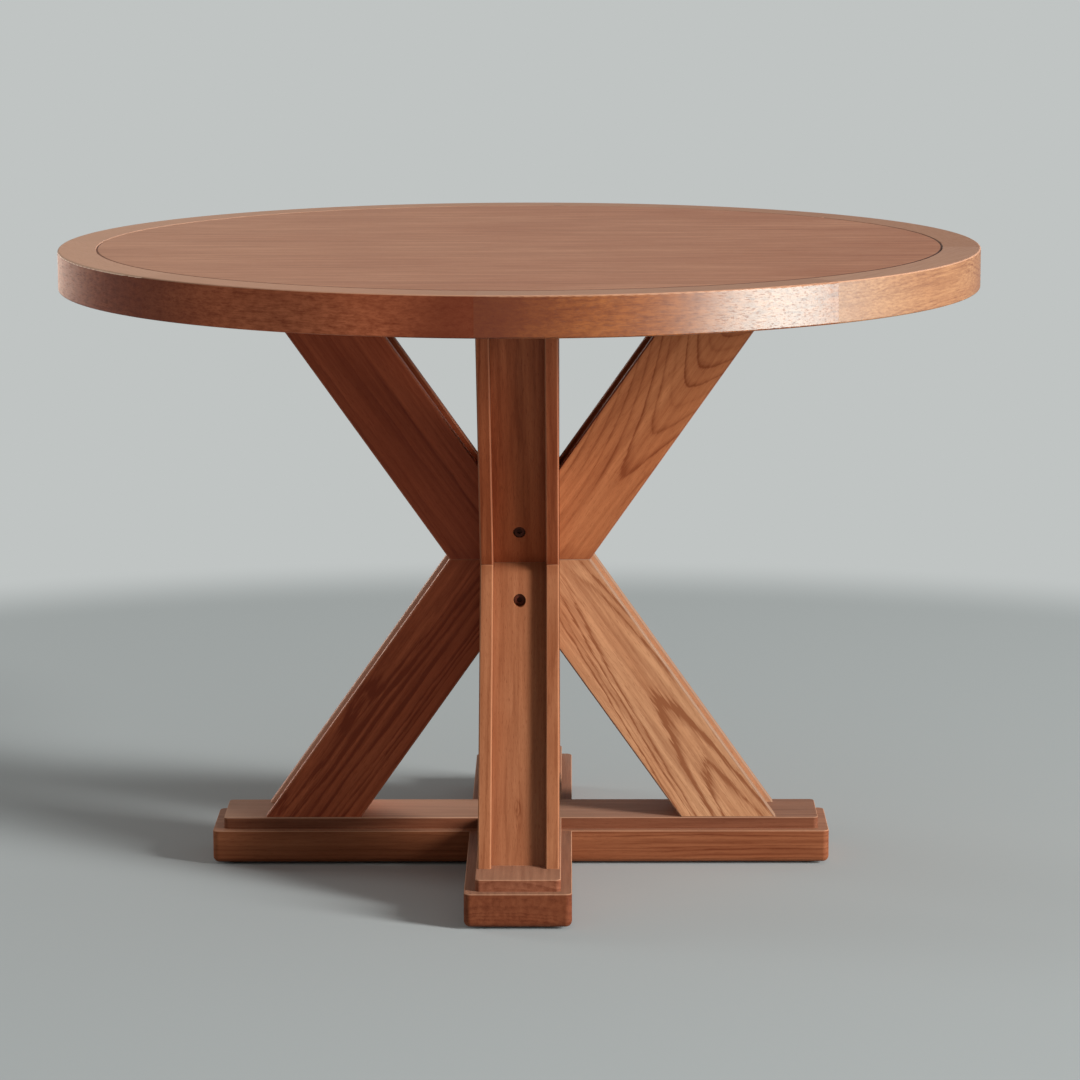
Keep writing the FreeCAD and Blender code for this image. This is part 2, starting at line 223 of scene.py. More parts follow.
print("a mid grey reflects", round(colour(128, 128, 128)[0], 3), "of the light")

# %% [markdown]
# ## Wood
# A board's figure is what a saw lays bare of the tree's growth rings. It could be painted as
# stripes, but then the faces of a board wouldn't agree. The recipe does what the tree does: it
# measures the distance from a pith that runs along the grain and darkens it at each ring's late
# wood. A trunk is a little cone-shaped, so a board cut near the pith shows nested arches, and one
# cut far from it straight lines. Good and bad years make the rings uneven, and a twig leaves a pin
# knot that bends them. Long thin noise adds fibres, curled figure, blotches of stain and pores.
# Each board has its own frame, in mm: x along the grain, y across the face and z into the wood.

# %% Noise stretched to a size in millimetres
# Each pattern adds a number of its own to its board's seed, so that no two patterns are alike.
seed_shift = (7.31, 3.17, 5.73)


def noise(recipe, vector, size, seed, detail=2.0, roughness=0.5):
    """Smooth noise from 0 to 1 whose blotches are about size large along x, y and z."""
    shares = tuple(1 / side for side in size)
    shift = tuple(seed * step for step in seed_shift)
    stretched = recipe.add("ShaderNodeVectorMath", {"operation": "MULTIPLY_ADD"},
                           {0: vector, 1: shares, 2: shift})
    return recipe.add("ShaderNodeTexNoise", None,
                      {"Vector": stretched, "Scale": 1.0, "Detail": detail,
                       "Roughness": roughness})


print("a new seed moves the noise by", seed_shift, "of its own blotches")

# %% Work out the three tones of a stain
late_wood_share = (0.42, 0.27, 0.21)
blotch_share = (0.80, 0.68, 0.62)


def darker(tint, shares):
    """A colour with less of its red, green and blue light."""
    return tuple(share * level for share, level in zip(shares, tint[:3])) + (1,)


def stain(red, green, blue):
    """The ground, the late wood and the redder blotches of one stained board."""
    ground = colour(red, green, blue)
    return ground, darker(ground, late_wood_share), darker(ground, blotch_share)


print("late wood keeps", late_wood_share, "of its ground's light")

# %% Describe a plain board
# Paler edges are partly wear and partly a painted highlight.
wear_and_highlight_colour = colour(226, 176, 140)
# Painted light: upper faces turn towards this colour more to the left, as if lit from there.
faded_colour = colour(238, 194, 166)
sooty_colour = colour(96, 40, 22)
groove_colour = colour(52, 24, 14)

plain_board = {
    # The tree: where its pith lies, in mm across and into the board, how wide its rings are,
    # what share of a ring is late wood, and how the rings lean, bend and waver.
    "pith": (80, 30), "taper": 0.01, "bow": 0.0, "ring": 10, "line": 0.3, "phase": 0.0,
    "sway": 2.2, "waver": 0.8, "feather": 0.5, "uneven": 1.6, "knots": (), "seed": 0.0,
    # How clearly the rings show, in patches or only past a place along the board, in mm.
    "figure": 0.6, "patchy": 1.0, "fade": None,
    # Fibres, curled figure, pores and blotches, with their sizes in mm.
    "fibre": 0.45, "fibre_size": (180, 7, 7), "curl": 0.0, "fleck": 0.3,
    "fleck_size": (9, 0.7, 0.7), "blotch_size": (170, 38, 38),
    # The lacquer: the depth of its pores in mm, and its gloss.
    "relief": 0.15, "rough": 0.42, "shine": 0.12, "coat": 0.03,
    # Dirt towards the two ends, and at the height of a joint.
    "dark_ends": (0, 0), "joint_at": None,
    # Wear along the edges, partly painted highlight, on some boards painted shade and on one
    # painted light; and on an upper face at a height, wear with painted sheen.
    "edge_wear_and_light": 0.15, "edge_rough": 0.2, "edge_colour": wear_and_highlight_colour,
    "rubbed_above": None, "rubbed_colour": wear_and_highlight_colour, "rubbed_share": 0.0,
    "rubbed_grain": 0.15, "faded": 0.0,
}
print("a plain board has", len(plain_board), "settings")

# %% Bend the rings round each pin knot
knot_bend = 0.9
knot_squeeze = 0.3
speck_size = (22, 2.5, 2.5)


def pin_knots(recipe, grain, board, radius):
    """The rings' radius with a bump at each twig, and how much of a knot is at each point."""
    knotty = 0.0
    for x, y, z, size, dark in board["knots"]:
        offset = recipe.add("ShaderNodeVectorMath", {"operation": "SUBTRACT"},
                            {0: grain, 1: (x, y, z)})
        squeezed = recipe.add("ShaderNodeVectorMath", {"operation": "MULTIPLY"},
                              {0: offset, 1: (knot_squeeze / size, 1 / size, 1 / size)})
        square = recipe.add("ShaderNodeVectorMath", {"operation": "DOT_PRODUCT"},
                            {0: squeezed, 1: squeezed})
        bump = square.math("EXPONENT", square * -1.0)
        radius = radius + bump * (knot_bend * board["ring"])
        specks = noise(recipe, grain, speck_size, board["seed"] + x, 3.0, 0.6) * 5.0 - 2.0
        knotty = bump * specks.math("MAXIMUM", specks, 0.0) * dark + knotty
    return radius, knotty


print("a knot pushes the rings aside by", knot_bend, "of a ring")

# %% Measure the distance from the pith
sway_size = (320, 70, 70)
waver_size = (110, 14, 14)
feather_size = (30, 1.7, 1.7)


def ring_radius(recipe, grain, board):
    """The distance from the pith in mm, bent as the trunk was."""
    along = axis(recipe, grain, "X")
    across = axis(recipe, grain, "Y") - board["pith"][0]
    into = axis(recipe, grain, "Z") - board["pith"][1]
    ring, seed = board["ring"], board["seed"]
    sway = noise(recipe, grain, sway_size, seed, 1.0) - 0.5
    waver = noise(recipe, grain, waver_size, seed + 11, 2.0) - 0.5
    feather = noise(recipe, grain, feather_size, seed + 17, 2.0, 0.6) - 0.5
    distance = (across * across + into * into) ** 0.5
    return (distance + along * board["taper"] + along * along * board["bow"]
            + sway * (board["sway"] * ring) + waver * (board["waver"] * ring)
            + feather * (board["feather"] * ring))


print("a plain board's pith lies", round(math.hypot(*plain_board["pith"])), "mm from its middle")

# %% Draw the late wood of each ring
rings_per_good_year = 2.3
patch_size = (200, 45, 45)
faded_strength = 0.25


def late_wood_stops(line):
    """A ring from its pale early wood to its dark line, which takes about line of its width."""
    return [(0, 0.35), (0.5 * line, 0.08), (1 - 2.4 * line, 0.0), (1 - 1.2 * line, 0.35),
            (1 - 0.3 * line, 1), (1, 0.35)]


def growth_rings(recipe, grain, board):
    """How dark the late wood is at each point, and how much of a pin knot is there."""
    ring, seed = board["ring"], board["seed"]
    radius, knotty = pin_knots(recipe, grain, board, ring_radius(recipe, grain, board))
    years = recipe.add("ShaderNodeTexNoise", {"noise_dimensions": "1D"},
                       {"W": radius / (rings_per_good_year * ring) + seed, "Scale": 1.0,
                        "Detail": 0.0}) - 0.5
    rings = radius / ring + years * board["uneven"] + board["phase"]
    tone = recipe.add("ShaderNodeTexWhiteNoise", {"noise_dimensions": "1D"},
                      {"W": rings.math("FLOOR", rings) + seed})
    late_wood = recipe.add("ShaderNodeValToRGB", {"stops": late_wood_stops(board["line"])},
                           {"Fac": rings.math("FRACT", rings)})
    patches = noise(recipe, grain, patch_size, seed + 23, 1.0) * 2.0 - 1.0
    strength = patches * board["patchy"] + 0.65
    if board["fade"]:
        faint, full = board["fade"]
        along = axis(recipe, grain, "X")
        strength = strength * rise(recipe, along, faint, full, low=faded_strength)
    return late_wood * (tone.out("Value") * 0.9 + 0.35) * strength, knotty


print("late wood starts at", round(1 - 2.4 * plain_board["line"], 2), "of a plain ring")

# %% Lay fibres, blotches and pores over the rings
curl_size = (13, 6, 6)
pore_from, pore_full = 0.56, 0.72


def wood_figure(recipe, grain, board):
    """Every pattern of one board, each a number that varies over it."""
    seed = board["seed"]
    late_wood, knotty = growth_rings(recipe, grain, board)
    fibres = noise(recipe, grain, board["fibre_size"], seed + 31, 5.0, 0.68) * 2.6 - 1.3
    blotches = noise(recipe, grain, board["blotch_size"], seed + 43, 2.0) * 1.8 - 0.4
    flecks = noise(recipe, grain, board["fleck_size"], seed + 57, 1.0)
    pores = rise(recipe, flecks, pore_from, pore_full)
    darkness = late_wood * board["figure"] + fibres * board["fibre"] + knotty * 0.8 + 0.25
    if board["curl"]:
        curls = noise(recipe, grain, curl_size, seed + 71, 4.0, 0.65) * 3.0 - 1.5
        darkness = darkness + curls * board["curl"]
    return {"late_wood": late_wood, "fibres": fibres, "blotches": blotches, "pores": pores,
            "darkness": darkness}


print("plain pores are", plain_board["fleck_size"][0], "mm long")

# %% [markdown]
# ## Stain, dirt, wear, lacquer and painted light
# A stain colours the early and the late wood differently, so one colour for a whole board looks
# like plastic. Dirt gathers where parts meet and rubbing takes colour off the edges and the upper
# faces. Part of that paler colour is painted light: highlights on edges, sheen on upper faces and
# more light from the left, and a few edges are painted darker as shade. Each is one more layer of
# colour over the last, in the order in which it came. Only the colour, the gloss, the thin top coat
# and the bump vary; the rest is set on the shader itself.

# %% Stain the figure
def stained(recipe, board, figure, tone):
    """The colour of the new board."""
    ground_colour, late_colour, blotch_colour = tone
    ground = blend(recipe, figure["blotches"], ground_colour, blotch_colour)
    figured = blend(recipe, figure["darkness"], ground, late_colour)
    return blend(recipe, figure["pores"] * board["fleck"], figured, late_colour)


print("tones of one stain:", [[round(level, 2) for level in tone] for tone in stain(182, 119, 78)])

# %% Let dirt gather at the joint and the ends
joint_dirt_reach = 24 * MM
joint_dirt_waver = 6 * MM
joint_dirt = 0.4
end_dirt_from, end_dirt_full = 100, 215
end_dirt_waver = 40


def soiled(recipe, board, figure, place, grain, late_colour, tint):
    """The colour with a dark band at a joint's height and darker ends."""
    if board["joint_at"]:
        level = axis(recipe, place, "Z")
        apart = level.math("ABSOLUTE", level - board["joint_at"])
        apart = apart + figure["blotches"] * joint_dirt_waver
        dirt = rise(recipe, apart, joint_dirt_reach, 0.0, "SMOOTHERSTEP")
        tint = blend(recipe, dirt * joint_dirt, tint, late_colour)
    along = axis(recipe, grain, "X")
    for side, dark in zip((-1, 1), board["dark_ends"]):
        if dark:
            far_along = along * side + figure["blotches"] * end_dirt_waver
            end = rise(recipe, far_along, end_dirt_from, end_dirt_full)
            tint = blend(recipe, end * dark, tint, sooty_colour)
    return tint


print("a joint is dirty for", round(joint_dirt_reach / MM), "mm to each side")

# %% Rub the upper face dull, and paint sheen and light on it
rubbed_roughness = 0.6
rubbed_from, rubbed_full = 1.5 * MM, 0.3 * MM


def rubbed(recipe, board, figure, place, tint, roughness):
    """The colour, roughness and top coat of an upper face rubbed dull, with painted sheen, and
    painted paler to the left as if lit from there.
    """
    top = board["rubbed_above"]
    worn_and_sheen = rise(recipe, axis(recipe, place, "Z"), top - rubbed_from, top - rubbed_full)
    # The rubbed colour is partly wear and partly painted sheen.
    share = worn_and_sheen * board["rubbed_share"] - figure["fibres"] * worn_and_sheen * board["rubbed_grain"]
    tint = blend(recipe, share, tint, board["rubbed_colour"])
    # Painted light: paler to the left.
    if board["faded"]:
        left = rise(recipe, axis(recipe, place, "X"), drawn_high.x, drawn_low.x, "LINEAR")
        tint = blend(recipe, worn_and_sheen * left * board["faded"], tint, faded_colour)
    roughness = roughness + worn_and_sheen * (rubbed_roughness - board["rough"])
    return tint, roughness, (1 - worn_and_sheen) * board["coat"]


print("rubbing reaches", round(rubbed_from / MM, 1), "mm down from an upper face")


# %% The recipe of a board
def wood(name, centre, turn, tone, **changes):
    """Stained, satin lacquered wood: a plain board with the changes that are named."""
    board = dict(plain_board, **changes)
    recipe = Recipe(bpy.data.materials.new(name))
    place = recipe.add("ShaderNodeTexCoord").out("Object")
    grain = recipe.add("ShaderNodeMapping", {"vector_type": "TEXTURE"},
                       {"Vector": place, "Location": centre, "Rotation": turn,
                        "Scale": (MM, MM, MM)})
    arris = recipe.add("ShaderNodeAttribute", {"attribute_name": "arris"}).out("Fac")
    groove = recipe.add("ShaderNodeAttribute", {"attribute_name": "groove"}).out("Fac")
    figure = wood_figure(recipe, grain, board)
    fibres, pores = figure["fibres"], figure["pores"]

    tint = stained(recipe, board, figure, tone)
    tint = soiled(recipe, board, figure, place, grain, tone[1], tint)
    # Edges take their board's edge colour: wear and painted highlight, on a few boards painted
    # shade.
    tint = blend(recipe, arris * board["edge_wear_and_light"], tint, board["edge_colour"])
    roughness = fibres * 0.04 + pores * 0.12 + arris * board["edge_rough"] + board["rough"]
    coat = board["coat"]
    if board["rubbed_above"]:
        tint, roughness, coat = rubbed(recipe, board, figure, place, tint, roughness)
    # The groove's dark filler, with painted shade that changes round the circle.
    tint = blend(recipe, groove, tint, groove_colour)
    relief = recipe.add("ShaderNodeBump", None,
                        {"Strength": 0.3, "Distance": board["relief"] * MM,
                         "Height": fibres * 0.3 - pores * 0.9 - figure["late_wood"] * 0.25})
    shader = recipe.add("ShaderNodeBsdfPrincipled", None,
                        {"Base Color": tint, "Roughness": roughness,
                         "Specular IOR Level": board["shine"], "Coat Weight": coat,
                         "Coat Roughness": 0.2, "Normal": relief})
    recipe.add("ShaderNodeOutputMaterial", None, {"Surface": shader})
    return recipe.owner


print("the recipe of a board is ready")

# %% [markdown]
# ## Softened pieces
# A sawn edge is never left sharp: it is eased so that it doesn't splinter and so that the lacquer
# holds, and that thin rounding is what catches the light. A Bevel modifier could do it, but a drawn
# board comes as loose triangles, so a copy is merged and its flat faces are joined again, and then
# its long edges get a small bevel. Two attributes, which the wood recipe reads, mark the edges and
# slopes, whose colour is wear and partly painted light and shade, and the groove's walls, whose
# dark filler carries painted shade.

# %% Say what wears, what holds dirt and where light and shade are painted
# Upward slopes of these pieces take their board's edge colour: wear and painted highlight, and
# painted shade on the right lower cheeks.
worn_and_painted_slopes = ("rim", "foot", "plinth", "right_lower_cheek")
slope_from, slope_to = 0.25, 0.95
# This cheek's inner face lies in shade and is painted pale: painted light.
painted_light_cheek = "left_lower_cheek_rear"
facing_front = -0.99
groove_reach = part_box("top_panel")[1].x
groove_width = 3 * MM
groove_lip, groove_depth = 0.1 * MM, 4 * MM
# The rim's wall of the groove gets less painted shade than the disc's.
rim_wall_share = 0.3
print("the groove runs", round(groove_reach / MM), "mm from the middle of the top")


# %% Mark the faces
def mark_wear_and_painted_light(shape, name, eased, arris, groove):
    """Marks edges and slopes for wear and painted light, one cheek's inner face for painted light,
    and the groove's walls for dark filler with painted shade, most at the front right.
    """
    for face in eased if not name.startswith("rim") else ():
        face[arris] = 1.0
    for face in shape.faces:
        sloping = slope_from < face.normal.z < slope_to and name.startswith(worn_and_painted_slopes)
        painted_light_face = face.normal.y < facing_front and name == painted_light_cheek
        if sloping or painted_light_face:
            face[arris] = 1.0
        middle = face.calc_center_median()
        reach = math.hypot(middle.x, middle.y)
        depth = drawn_high.z - middle.z
        if abs(reach - groove_reach) < groove_width and groove_lip < depth < groove_depth:
            # The groove holds dark filler; how dark it is round the circle is painted shade.
            painted_groove_shade = 0.5 + (0.35 * middle.x - 0.3 * middle.y) / reach
            face[groove] = painted_groove_shade if name == "top_panel" else rim_wall_share * painted_groove_shade
            face[arris] = 0.0


print("rubbed slopes belong to", ", ".join(worn_and_painted_slopes))

# %% Copy a drawn piece and ease its edges
merge_within = 0.005 * MM
flat_within = math.radians(0.3)
long_edge = 5 * MM
sharp_edge = math.radians(30)
shading_break = math.radians(35)


def eased_copy(name, ease):
    """A merged copy of a drawn node, its long sharp edges eased by so many mm, in its place."""
    mesh = nodes[name].data.copy()
    mesh.name = name + "_eased"
    shape = bmesh.new()
    shape.from_mesh(mesh)
    bmesh.ops.remove_doubles(shape, verts=shape.verts, dist=merge_within)
    bmesh.ops.dissolve_limit(shape, angle_limit=flat_within, verts=shape.verts,
                             edges=shape.edges)
    arris = shape.faces.layers.float.new("arris")
    groove = shape.faces.layers.float.new("groove")
    eased = []
    if ease:
        sharp = [edge for edge in shape.edges
                 if edge.is_manifold and edge.calc_length() > long_edge
                 and edge.calc_face_angle() > sharp_edge]
        eased = bmesh.ops.bevel(shape, geom=sharp, offset=ease * MM, offset_type="OFFSET",
                                segments=2, affect="EDGES", profile=0.5, material=-1,
                                clamp_overlap=True)["faces"]
    mark_wear_and_painted_light(shape, name, eased, arris, groove)
    shape.to_mesh(mesh)
    shape.free()
    mesh.shade_smooth()
    mesh.set_sharp_from_angle(angle=shading_break)
    piece = bpy.data.objects.new(name + "_eased", mesh)
    bpy.context.scene.collection.objects.link(piece)
    weigh = piece.modifiers.new("even_shading", "WEIGHTED_NORMAL")
    weigh.keep_sharp = True
    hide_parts(name)
    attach(piece, "root")
    return piece


print("edges are eased where they are over", round(long_edge / MM), "mm long")


# %% Put a finish on a piece
def dress(piece, material):
    """Gives a piece its material."""
    piece.data.materials.clear()
    piece.data.materials.append(material)


def middle_of(name):
    """The middle of a drawn node's box."""
    low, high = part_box(name)
    return (low + high) / 2


print("the top panel's middle is", round(middle_of("top_panel").z, 4), "m above the floor")

# %% [markdown]
# ## The arms
# Eight arms make the two crossed frames. Each is a sandwich: two cheeks stand proud of a core. The
# grain runs along the arm, so each board's pattern is laid on its own slant. Most boards draw
# their tree by lot, from a fixed seed. A few show a figure that one knows the table by, such as
# nested arches or a pin knot, and these have their tree written down.

# %% Measure the slant of an arm
cheek_low, cheek_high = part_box("right_lower_cheek_front")
waist_height = cheek_high.z
arm_rise = cheek_high.z - cheek_low.z
arm_width = -2 * cheek_low.y
corners = nodes["right_lower_cheek_front"].data.vertices
waist_reach = max(corner.co.x for corner in corners if corner.co.z > waist_height - 2 * MM)
arm_lean = math.atan2(arm_rise, cheek_high.x - waist_reach)
middle_reach = (waist_reach - arm_width / 2 / math.sin(arm_lean)
                + arm_rise / 2 / math.tan(arm_lean))
print("arms lean at", round(math.degrees(arm_lean), 1), "degrees from the floor")

# %% Choose the arms' stains, with painted light and shade in them
directions = {"right": 0, "rear": 90, "left": 180, "front": 270}
# Partly each board's own tone, partly painted light and shade: darker and redder on the left, paler
# on the right, and darker under the top on the upper arms.
arm_stains_and_painted_light = {
    "right_upper": (182, 119, 78), "right_lower": (208, 161, 122),
    "left_upper": (180, 92, 58), "left_lower": (190, 102, 64),
    "front_upper": (166, 94, 60), "front_lower": (174, 118, 84),
    "rear_upper": (166, 98, 66), "rear_lower": (172, 110, 76),
}
# Darker copies of their arms' stains for two rear cheeks whose strips lie in shade: painted shade.
painted_shade_stains = {"left_upper_cheek_rear": (150, 84, 54), "right_lower_cheek_rear": (200, 156, 122)}
print("stains for", len(arm_stains_and_painted_light), "arms and", len(painted_shade_stains), "odd boards")

# %% Describe the boards that stand out
# Painted shade: a darker colour for the edges and slopes of the lit right lower cheeks.
painted_shade_edge = colour(145, 115, 95)
dull_edges = {"rough": 0.6, "coat": 0.0, "shine": 0.05}
figured_boards = {
    # Nested arches that fade out towards the waist.
    "right_upper_cheek_front": {
        "pith": (-20, -8), "taper": -0.227, "bow": -0.00103, "ring": 11.5, "phase": 0.73,
        "uneven": 0.25, "line": 0.18, "sway": 0.5, "waver": 0.2, "feather": 0.2, "patchy": 0.3,
        # Its edges are painted dark: painted shade.
        "fade": (-120, -60), "figure": 0.95, "edge_wear_and_light": 0.6,
        "edge_colour": colour(110, 62, 48), "seed": 4.0},
    # A long pointed figure.
    "right_lower_cheek_front": {
        "pith": (15, -37), "taper": -0.056, "ring": 6.7, "phase": 0.32, "line": 0.18,
        "sway": 0.7, "waver": 0.4, "patchy": 0.5, "fade": (-190, -110), "figure": 1.9,
        "fibre": 0.85, "seed": 9.0, "edge_wear_and_light": 0.8, "edge_colour": painted_shade_edge},
    "right_lower_cheek_rear": {"edge_wear_and_light": 0.8, "edge_colour": painted_shade_edge},
    # Dark streaks past a knot.
    "left_lower_cheek_front": {
        "pith": (40, 17), "taper": 0.03, "ring": 8.5, "line": 0.34, "patchy": 0.7,
        "figure": 1.9, "fibre": 0.65, "seed": 2.0, "knots": ((43, 38, -8, 12, 1.0),)},
    # Its inner face, which lies in shade, and its edges are painted pale: painted light.
    "left_lower_cheek_rear": {"edge_wear_and_light": 0.9, "edge_colour": colour(236, 196, 168)},
    "front_lower_cheek_left": dull_edges,
    "front_lower_cheek_right": dull_edges,
    # A small knot low in the channel.
    "front_lower_core": {"pith": (90, -20), "ring": 9, "figure": 0.3,
                         "knots": ((150, 34, 1, 4, 0.9),)},
}
print("boards with their tree or edges written down:", len(figured_boards))

# %% Dress the arms
draw = random.Random(7)
cheek_ease, core_ease = 0.8, 0.4


def drawn_tree():
    """The tree of one arm board, drawn by lot."""
    return {"pith": (draw.uniform(45, 110) * draw.choice((-1, 1)), draw.uniform(15, 50)),
            "taper": draw.uniform(-0.03, 0.03), "ring": draw.uniform(8, 12),
            "seed": draw.uniform(0, 50)}


for direction, turn in directions.items():
    facing = Vector((math.cos(math.radians(turn)), math.sin(math.radians(turn)), 0))
    for level, side in (("lower", 1), ("upper", -1)):
        arm = direction + "_" + level
        slope = (math.pi / 2, side * arm_lean, math.radians(turn))
        for name in sorted(node for node in nodes if node.startswith(arm)):
            is_core = name.endswith("core")
            centre = middle_of(name)
            centre += facing * (middle_reach - centre.dot(facing))
            board = drawn_tree()
            board.update(figure=0.65, fibre=0.6, fleck=0.45, joint_at=waist_height)
            board.update(figured_boards.get(name, {}))
            tone = stain(*painted_shade_stains.get(name, arm_stains_and_painted_light[arm]))
            material = wood(name + "_wood", centre, slope, tone, **board)
            piece = eased_copy(name, core_ease if is_core else cheek_ease)
            dress(piece, material)
print("materials after the arms:", len(bpy.data.materials))

# %% [markdown]
# ## The foot
# Two heavy beams cross under the middle and thin plinth boards lie on them. Their edges are drawn
# rounded already, so their copies only get even shading. Shoes have rubbed their upper faces, and
# their paler colour is also painted sheen; one plinth's upper face is painted paler to the left, as
# if lit from there. That could be painted on by hand, but a mask that reads the height keeps it on
# top of every board.

# %% Dress the beams and plinths
# Upper faces: wear, partly painted sheen; plinth_cross is also painted paler to the left, as if lit
# from there.
foot_boards = {
    "foot_beam_cross": {"turn": 0, "tint": (155, 98, 66), "rubbed_share": 0.3, "faded": 0.0},
    "foot_beam_long": {"turn": 90, "tint": (128, 73, 47), "rubbed_share": 0.3, "faded": 0.0},
    "plinth_cross": {"turn": 0, "tint": (138, 89, 65), "rubbed_share": 0.15, "faded": 0.5},
    "plinth_front": {"turn": 90, "tint": (150, 97, 72), "rubbed_share": 0.3, "faded": 0.0},
    "plinth_rear": {"turn": 90, "tint": (138, 89, 65), "rubbed_share": 0.3, "faded": 0.0},
}
for name, foot in foot_boards.items():
    material = wood(name + "_wood", middle_of(name), (0, 0, math.radians(foot["turn"])),
                    stain(*foot["tint"]),
                    pith=(draw.uniform(-20, 20), -draw.uniform(300, 400)),
                    taper=draw.uniform(-0.02, 0.02), ring=draw.uniform(5, 7),
                    seed=draw.uniform(0, 50), figure=0.6, fibre=0.7, rough=0.58, coat=0.0,
                    rubbed_above=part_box(name)[1].z, rubbed_colour=colour(222, 176, 146),
                    rubbed_share=foot["rubbed_share"], faded=foot["faded"])
    dress(eased_copy(name, 0), material)
print("foot boards dressed:", len(foot_boards))

# %% [markdown]
# ## The disc
# The middle of the top is one wide disc with calm grain from left to right, dulled by use and
# painted a little paler to the left, as if lit from there. It is dressed as one board that was sawn
# far from its pith, which gives nearly straight lines. It could be glued up from staves, but no
# joint shows on it.

# %% Dress the disc
top_height = drawn_high.z
material = wood("top_panel_wood", (0, 0, top_height), (0, 0, 0), stain(198, 141, 110),
                pith=(-700, -300), taper=0.004, ring=16, seed=3.3, figure=0.3, fleck=0.2,
                fibre=0.5, fibre_size=(130, 14, 14), blotch_size=(260, 150, 150), rough=0.6,
                shine=0.2, coat=0.0, rubbed_above=top_height, faded=0.25)
dress(eased_copy("top_panel", 0), material)
print("the disc is", round(2 * groove_reach / MM), "mm across")

# %% [markdown]
# ## The rim
# Each of the rim's eight segments is sawn from a straight board, so its grain follows its chord,
# and each takes the stain and the polish in its own way. One pattern bent round the whole rim
# would be less work, but no tree grows in a ring that wide.

# %% Describe the rim's segments
rim_joint_turn = -94.5
rim_reach = 0.53
rim_ease = 0.25
plain_rim = {"figure": 0.4, "fibre": 0.6, "fibre_size": (22, 2.0, 2.0), "curl": 0.7, "fleck": 0.4,
             "fleck_size": (16, 1.2, 1.2), "relief": 0.12, "coat": 0.0, "edge_wear_and_light": 0.35,
             "edge_rough": 0.0, "rubbed_share": 0.8, "rubbed_grain": 0.35, "faded": 0.45,
             "rubbed_above": top_height}
# The upper face's colour: wear, partly painted sheen.
rubbed_sheen_rim = (182, 137, 112)
# Counted from the front to the right: a stain, how much lighter its upper face is painted than
# rubbed_sheen_rim, as painted light and shade that is darker at the front, its polish, its dirt at
# both ends and what else is its own.
rim_segments = (
    {"stain": (158, 94, 45), "painted_top_light": -14, "rough": 0.38, "dark_ends": (0.8, 0), "shine": 0.28},
    {"stain": (172, 126, 86), "painted_top_light": 3, "rough": 0.5, "dark_ends": (0, 0.4), "shine": 0.28,
     "figure": 0.55, "fibre": 0.8, "fibre_size": (60, 2.2, 2.2), "curl": 0.2, "fleck": 0.25},
    {"stain": (160, 112, 78), "painted_top_light": -2, "rough": 0.5, "dark_ends": (0.3, 0.3)},
    {"stain": (156, 98, 66), "painted_top_light": -6, "rough": 0.45, "dark_ends": (0.3, 0.3)},
    {"stain": (156, 92, 60), "painted_top_light": -6, "rough": 0.42, "dark_ends": (0.3, 0.3)},
    {"stain": (154, 88, 58), "painted_top_light": -3, "rough": 0.4, "dark_ends": (0.3, 0.3)},
    # Painted highlight: a near-white colour on the top edge at the rim's left end.
    {"stain": (158, 86, 56), "painted_top_light": 2, "rough": 0.38, "dark_ends": (0, 0.4),
     "edge_wear_and_light": 1.0, "edge_colour": colour(255, 222, 196)},
    {"stain": (196, 114, 78), "painted_top_light": -10, "rough": 0.4, "dark_ends": (0.7, 0.85)},
)
segment_turn = 360 / len(rim_segments)
print("the rim has", len(rim_segments), "segments of", segment_turn, "degrees")

# %% Dress the rim
rim_names = sorted(node for node in nodes if node.startswith("rim_segment"))
for number, (name, segment) in enumerate(zip(rim_names, rim_segments)):
    middle = math.radians(rim_joint_turn + segment_turn * (number + 0.5))
    centre = (rim_reach * math.cos(middle), rim_reach * math.sin(middle), middle_of(name).z)
    board = dict(plain_rim, **segment)
    tone = stain(*board.pop("stain"))
    painted_top_light = board.pop("painted_top_light")
    board.update(pith=(draw.uniform(60, 90), draw.uniform(-20, 20)),
                 taper=draw.uniform(-0.02, 0.02), ring=draw.uniform(6, 9),
                 seed=draw.uniform(0, 50),
                 rubbed_colour=colour(*(level + painted_top_light for level in rubbed_sheen_rim)))
    material = wood(name + "_wood", centre, (math.pi / 2, 0, middle + math.pi / 2), tone, **board)
    dress(eased_copy(name, rim_ease), material)
print("rim segments dressed:", len(rim_names))

# %% [markdown]
# ## Hidden wood
# Two battens hold the top flat from below, and the arms are bolted to a post in the middle. Both
# are seldom seen. They could share one material, but each has its own board's wood, because the
# same lines on two crossing boards would give the trick away.

# %% Dress the battens and the post
hidden_ease = 0.6
hidden_stain = stain(150, 86, 56)
battens = {"batten_cross": 0, "batten_long": 90}
for name, turn in battens.items():
    material = wood(name + "_wood", middle_of(name), (0, 0, math.radians(turn)), hidden_stain,
                    pith=(0, -60), taper=0.03, ring=9, seed=draw.uniform(0, 50), figure=0.4)
    dress(eased_copy(name, hidden_ease), material)
material = wood("hub_post_wood", middle_of("hub_post"), (0, math.pi / 2, 0), hidden_stain,
                pith=(5, 8), taper=0.02, ring=9, seed=9.0)
dress(eased_copy("hub_post", hidden_ease), material)
print("hidden boards dressed:", len(battens) + 1)

# %% [markdown]
# ## Fittings
# Bolts, screws, washers, inserts, dowels and glides stay as drawn: they are turned or moulded, and
# a softened copy would only lose their exact shape. Their finish is added, with a little noise in
# its colour, gloss and height, because a perfectly even metal looks like a drawing.

# %% Mix the metals, the nylon and the beech
patch_tone = (0.6, 0.6, 0.6)


